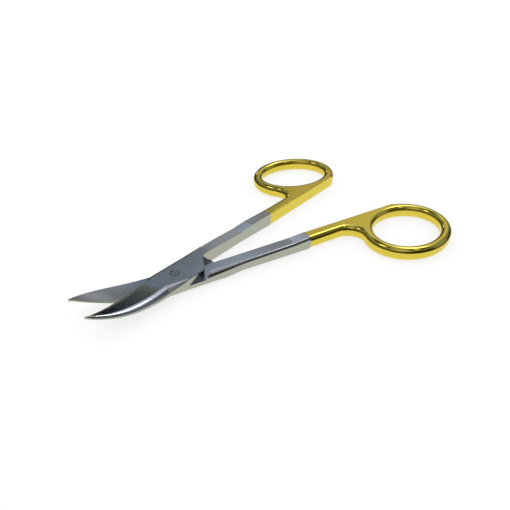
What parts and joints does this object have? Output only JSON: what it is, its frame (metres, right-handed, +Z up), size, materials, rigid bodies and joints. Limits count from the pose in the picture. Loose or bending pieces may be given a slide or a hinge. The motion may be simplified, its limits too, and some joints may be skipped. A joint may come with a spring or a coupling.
{
  "type": "scissors",
  "caption": "Curved surgical iris scissors, satin steel blades bent up at the tips, screw joint, gold-plated oval finger rings.",
  "frame": {"origin": "on the joint's axis, at the level of the flat underside that rests on a table", "axes": "+Z up along the joint's axis, +X from the joint towards the rings midway between the two halves, blade tips towards -X, upper half's ring towards +Y"},
  "size_m": [0.1115, 0.0764, 0.0073],
  "materials": {
    "satin_steel": "satin stainless steel",
    "gold_plate": "mirror-polished gold plating on steel",
    "carbide": "fine-ground tungsten carbide",
    "screw_steel": "satin stainless steel, ground flush"
  },
  "bodies": {
    "lower": {"lower_half": "satin_steel", "lower_ring": "gold_plate", "lower_carbide_edge": "carbide"},
    "upper": {"upper_half": "satin_steel", "upper_ring": "gold_plate", "upper_carbide_edge": "carbide", "joint_screw": "screw_steel"}
  },
  "joints": [
    {"name": "screw_joint", "type": "hinge", "parent": "lower", "child": "upper", "pos_m": [0, 0, 0.00215], "axis": [0, 0, 1], "range_deg": [-20, 90]}
  ]
}
